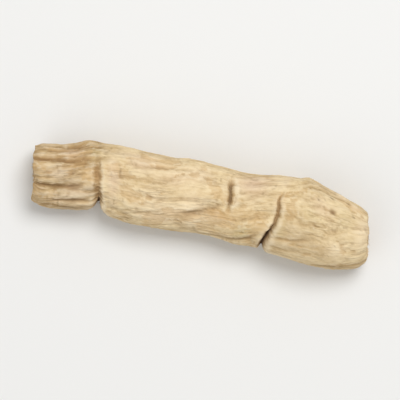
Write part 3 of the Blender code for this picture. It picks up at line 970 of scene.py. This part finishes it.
def turned(tree, rotation, x, y, z):
    euler = add(tree, "FunctionNodeEulerToRotation", {"Euler": vectorOf(tree, x, y, z)})["Rotation"]
    values = {"Rotation": rotation, "Rotate By": euler}
    return add(tree, "FunctionNodeRotateRotation", values, rotation_space="LOCAL")["Rotation"]


def finishGrowth(tree, given, made, points, shape, rotation, size):
    values = {"Points": points, "Instance": shape, "Rotation": rotation, "Scale": size}
    placed = add(tree, "GeometryNodeInstanceOnPoints", values)["Instances"]
    real = add(tree, "GeometryNodeRealizeInstances", {"Geometry": placed})["Geometry"]
    coated = add(tree, "GeometryNodeSetMaterial", {"Geometry": real, "Material": given["Material"]})
    plug(made["Geometry"], coated["Geometry"])
    return tree


# Torn fibres: a bent, tapered strand of three sides, which stands out of the wood it was torn from.
def makeFibreTree():
    tree, given, made = newGrowth("tornFibres", fibreSizes)
    points = scattered(tree, given, "torn")
    bow = {"Resolution": 4, "Start": (0, 0, -0.2), "Middle": (0.16, 0.05, 0.5), "End": (-0.04, 0.22, 1.0)}
    strand = add(tree, "GeometryNodeCurveQuadraticBezier", bow)["Curve"]
    along = add(tree, "GeometryNodeSplineParameter", {})["Factor"]
    taper = minus(tree, 1.0, times(tree, along, 0.8))
    strand = add(tree, "GeometryNodeSetCurveRadius", {"Curve": strand, "Radius": taper})["Curve"]
    threeSided = {"Resolution": 3, "Radius": given["Slimness"]}
    profile = add(tree, "GeometryNodeCurvePrimitiveCircle", threeSided)["Curve"]
    swept = {"Curve": strand, "Profile Curve": profile, "Fill Caps": True}
    strand = add(tree, "GeometryNodeCurveToMesh", swept)["Mesh"]
    tilt = given["Tilt"]
    back = times(tree, tilt, -1.0)
    leanX, leanY = (randomNumber(tree, back, tilt, seed) for seed in (11, 12))
    rotation = turned(tree, points["Rotation"], leanX, leanY, randomNumber(tree, 0.0, fullTurn, 13))
    length = randomNumber(tree, given["Shortest"], given["Longest"], 14)
    return finishGrowth(tree, given, made, points["Points"], strand, rotation, length)


# Crumbs of cork dust, half sunk where they lie. Most are small.
def makeCrumbTree():
    tree, given, made = newGrowth("corkCrumbs", crumbSizes)
    points = scattered(tree, given, "dusty")
    ball = add(tree, "GeometryNodeMeshIcoSphere", {"Radius": 1.0, "Subdivisions": 1})["Mesh"]
    lumpy = add(tree, "ShaderNodeTexNoise", {"Scale": 1.3}, noise_dimensions="3D")["Color"]
    lumpy = add(tree, "ShaderNodeVectorMath", {"Vector": lumpy, "Scale": 0.9}, operation="SCALE")["Vector"]
    crumb = add(tree, "GeometryNodeSetPosition", {"Geometry": ball, "Offset": lumpy})["Geometry"]
    tilt, spin = randomNumber(tree, -0.5, 0.5, 21), randomNumber(tree, 0.0, fullTurn, 22)
    rotation = turned(tree, points["Rotation"], 0.0, tilt, spin)
    small = randomNumber(tree, 0.0, 1.0, 23)
    small = times(tree, times(tree, small, small), small)
    spread = minus(tree, given["Largest"], given["Smallest"])
    size = plus(tree, given["Smallest"], times(tree, small, spread))
    wide = times(tree, size, randomNumber(tree, 0.6, 1.0, 24))
    flat = times(tree, size, given["Flatness"])
    size = vectorOf(tree, size, wide, flat)
    return finishGrowth(tree, given, made, points["Points"], crumb, rotation, size)


# Runs a tree on a copy of the bark and keeps the result as a plain mesh.
def grown(name, surface, tree, sizes, material):
    piece = newObject(name, surface.data.copy())
    modifier = piece.modifiers.new("grow", "NODES")
    modifier.node_group = tree
    sockets = [socket for socket in tree.interface.items_tree if socket.in_out == "INPUT"]
    identifiers = {socket.name: socket.identifier for socket in sockets}
    for socketName, value in {**sizes, "Material": material}.items():
        modifier[identifiers[socketName]] = value
    depsgraph = bpy.context.evaluated_depsgraph_get()
    mesh = bpy.data.meshes.new_from_object(
        piece.evaluated_get(depsgraph), preserve_all_data_layers=True, depsgraph=depsgraph)
    piece.modifiers.remove(modifier)
    piece.data = mesh
    mesh.name = name
    mesh.materials.clear()
    mesh.materials.append(material)
    print(name, "made with", len(mesh.polygons), "faces")
    return piece


floorLook = {"reach": 1.5, "colour": (0.80, 0.80, 0.79, 1), "roughness": 0.9}


def makeFloor():
    reach = floorLook["reach"]
    corners = [(-reach, -reach, 0), (reach, -reach, 0), (reach, reach, 0), (-reach, reach, 0)]
    mesh = bpy.data.meshes.new("floor")
    mesh.from_pydata(corners, [], [(0, 1, 2, 3)])
    material, _, shader = newMaterial("paleFloor")
    plug(shader["Base Color"], floorLook["colour"])
    plug(shader["Roughness"], floorLook["roughness"])
    mesh.materials.append(material)
    floor = newObject("floor", mesh)


studio = {
    "skyColour": (1.0, 0.99, 0.97, 1),
    "skyStrength": 0.50,
    "lamps": {  # power, width, place
        "keyLight": (0.88, 0.20, (0.06, 0.15, 0.35)),
        "fillLight": (0.34, 0.40, (-0.20, -0.25, 0.30)),
    },
    "lens": 300,
    "sensor": 36,
    "clip": (0.01, 10),
    "cameraHeight": 0.39,
    "roll": 11.3,
}


def makeStudio():
    scene = bpy.context.scene
    world = bpy.data.worlds.new("softStudio")
    world.use_nodes = True
    background = world.node_tree.nodes["Background"].inputs
    plug(background["Color"], studio["skyColour"])
    plug(background["Strength"], studio["skyStrength"])
    scene.world = world
    for name, (power, width, place) in studio["lamps"].items():
        light = bpy.data.lights.new(name, "AREA")
        light.shape, light.size, light.energy = "DISK", width, power
        lamp = newObject(name, light)
        lamp.location = place
        lamp.rotation_euler = (-Vector(place)).to_track_quat("-Z", "Y").to_euler()
    lens = bpy.data.cameras.new("overhead")
    lens.lens = studio["lens"]
    lens.sensor_width = studio["sensor"]
    lens.clip_start, lens.clip_end = studio["clip"]
    camera = newObject("overhead", lens)
    camera.location = (0, 0, studio["cameraHeight"])
    camera.rotation_euler = (0, 0, np.radians(studio["roll"]))
    scene.camera = camera
    scene.view_settings.view_transform = "Standard"
    print("studio lit")


bark = makeBark()
barkTone, dryGrit, crackDustAndShade = makeBarkTone(), makeDryGrit(), makeCrackDustAndShade()
bark.data.materials.append(makeBarkMaterial(barkTone, dryGrit, crackDustAndShade))
pieces = [
    bark,
    grown("torn_fibres", bark, makeFibreTree(), fibreSizes, makeTornFibre(barkTone, crackDustAndShade)),
    grown("cork_crumbs", bark, makeCrumbTree(), crumbSizes, makeLooseCork(barkTone, dryGrit, crackDustAndShade)),
]
for piece in pieces:
    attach(piece, "root")
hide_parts("morinda_root")
makeFloor()
makeStudio()
